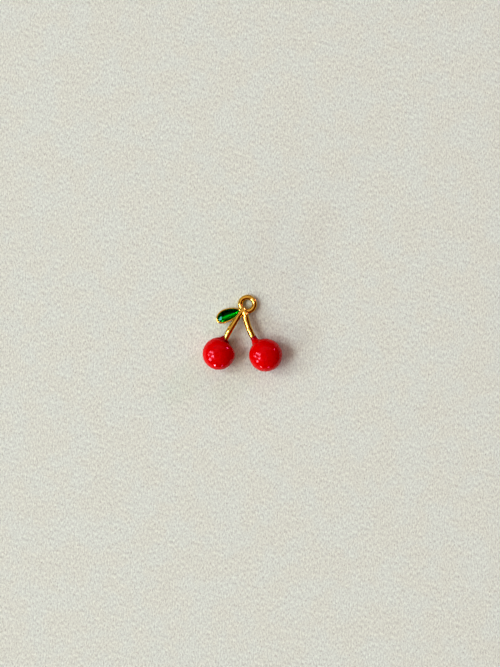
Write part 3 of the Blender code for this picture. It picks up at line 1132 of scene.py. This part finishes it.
def add_lamp(name, direction, spread, brightness, tint):
    """A flat lamp that faces the charm, as bright as `brightness` all over its face.

    Its spread is (width, height) as shares of its distance from the charm.
    """
    lamp = bpy.data.lights.new(name, "AREA")
    lamp.shape = "RECTANGLE"
    lamp.size, lamp.size_y = (side * LAMP_DISTANCE for side in spread)
    lamp.energy = brightness * math.pi * lamp.size * lamp.size_y
    lamp.color = tint
    direction = Vector(direction).normalized()
    item = bpy.data.objects.new(name, lamp)
    bpy.context.scene.collection.objects.link(item)
    item.rotation_mode = "QUATERNION"
    item.rotation_quaternion = direction.to_track_quat("Z", "Y")
    item.location = direction * LAMP_DISTANCE
    item.visible_camera = False


def towards(azimuth, elevation):
    """The direction at an azimuth from +X and an elevation, in degrees."""
    azimuth = math.radians(azimuth)
    elevation = math.radians(elevation)
    level = math.cos(elevation)
    return level * math.cos(azimuth), level * math.sin(azimuth), math.sin(elevation)


def add_lamps(settings):
    """The window at the left, a dim opening with four bright patches of sky, and the small lamps."""
    for name, azimuth, elevation, spread, share in WINDOW_PARTS:
        add_lamp(name, towards(azimuth, elevation), spread, settings.window * share, DAYLIGHT)
    for name, direction, side, brightness, tint in SMALL_LAMPS:
        add_lamp(name, direction, (side, side), brightness, tint)


def add_ground(settings):
    """The sheet that the charm lies on."""
    bm = bmesh.new()
    bmesh.ops.create_grid(bm, x_segments=8, y_segments=8, size=GROUND_REACH)
    bmesh.ops.translate(bm, vec=(0.0, 0.0, -GROUND_DEPTH), verts=bm.verts)
    sheet = close_mesh("ground", bm)
    sheet.materials.append(pale_ground(settings))
    ground = bpy.data.objects.new("ground", sheet)
    bpy.context.scene.collection.objects.link(ground)


def add_camera(settings):
    """The camera, looking straight down."""
    low, high = CAD_BOX
    camera = bpy.data.cameras.new("camera")
    camera.lens = settings.lens
    camera.clip_start = MM
    camera.clip_end = 10.0
    distance = settings.view_height * camera.lens / camera.sensor_width
    item = bpy.data.objects.new("camera", camera)
    item.location = (*settings.aim, (low.z + high.z) / 2.0 + distance)
    bpy.context.scene.collection.objects.link(item)
    bpy.context.scene.camera = item


def set_view(view):
    """The contrast of the view."""
    view.view_transform = "Standard"
    view.exposure = VIEW_EXPOSURE
    view.gamma = VIEW_GAMMA
    view.use_curve_mapping = True
    view.curve_mapping.black_level = (BLACK_LEVEL, BLACK_LEVEL, BLACK_LEVEL)
    view.curve_mapping.update()


def make_stage(context):
    """The ground, the room's light, the lamps, the camera and its view."""
    settings = context.scene.charm_stage
    add_ground(settings)
    room_light(settings)
    add_lamps(settings)
    add_camera(settings)
    set_view(context.scene.view_settings)


class CHARM_OT_stage(bpy.types.Operator):
    """Set up the ground, the light and the camera"""

    bl_idname = "charm.stage"
    bl_label = "Stage"

    def execute(self, context):
        make_stage(context)
        return {"FINISHED"}


# ---------------------------------------------------------------------------------------
# Panel and registration

OPERATORS = (CHARM_OT_wirework, CHARM_OT_leaf, CHARM_OT_cherries, CHARM_OT_stage)
GROUPS = {
    "charm_wire": WireSizes,
    "charm_leaf": LeafSizes,
    "charm_cherries": CherrySizes,
    "charm_finishes": Finishes,
    "charm_stage": StageSizes,
}


class CHARM_PT_sidebar(bpy.types.Panel):
    """Sizes, colours and buttons for the charm"""

    bl_idname = "CHARM_PT_sidebar"
    bl_label = "Cherry Charm"
    bl_space_type = "VIEW_3D"
    bl_region_type = "UI"
    bl_category = "Charm"

    def draw(self, context):
        for name, group in GROUPS.items():
            box = self.layout.box()
            for setting in group.__annotations__:
                box.prop(getattr(context.scene, name), setting)
        for operator in OPERATORS:
            self.layout.operator(operator.bl_idname)


def register():
    """Register the add-on's classes and its settings."""
    for item in (*GROUPS.values(), *OPERATORS, CHARM_PT_sidebar):
        bpy.utils.register_class(item)
    for name, group in GROUPS.items():
        setattr(bpy.types.Scene, name, PointerProperty(type=group))


def unregister():
    """Remove the settings and the add-on's classes."""
    for name in GROUPS:
        delattr(bpy.types.Scene, name)
    for item in (CHARM_PT_sidebar, *reversed(OPERATORS), *reversed(GROUPS.values())):
        bpy.utils.unregister_class(item)


def main():
    """Build the charm and its stage."""
    register()
    bpy.ops.charm.wirework()
    bpy.ops.charm.leaf()
    bpy.ops.charm.cherries()
    bpy.ops.charm.stage()


if __name__ == "__main__":
    main()
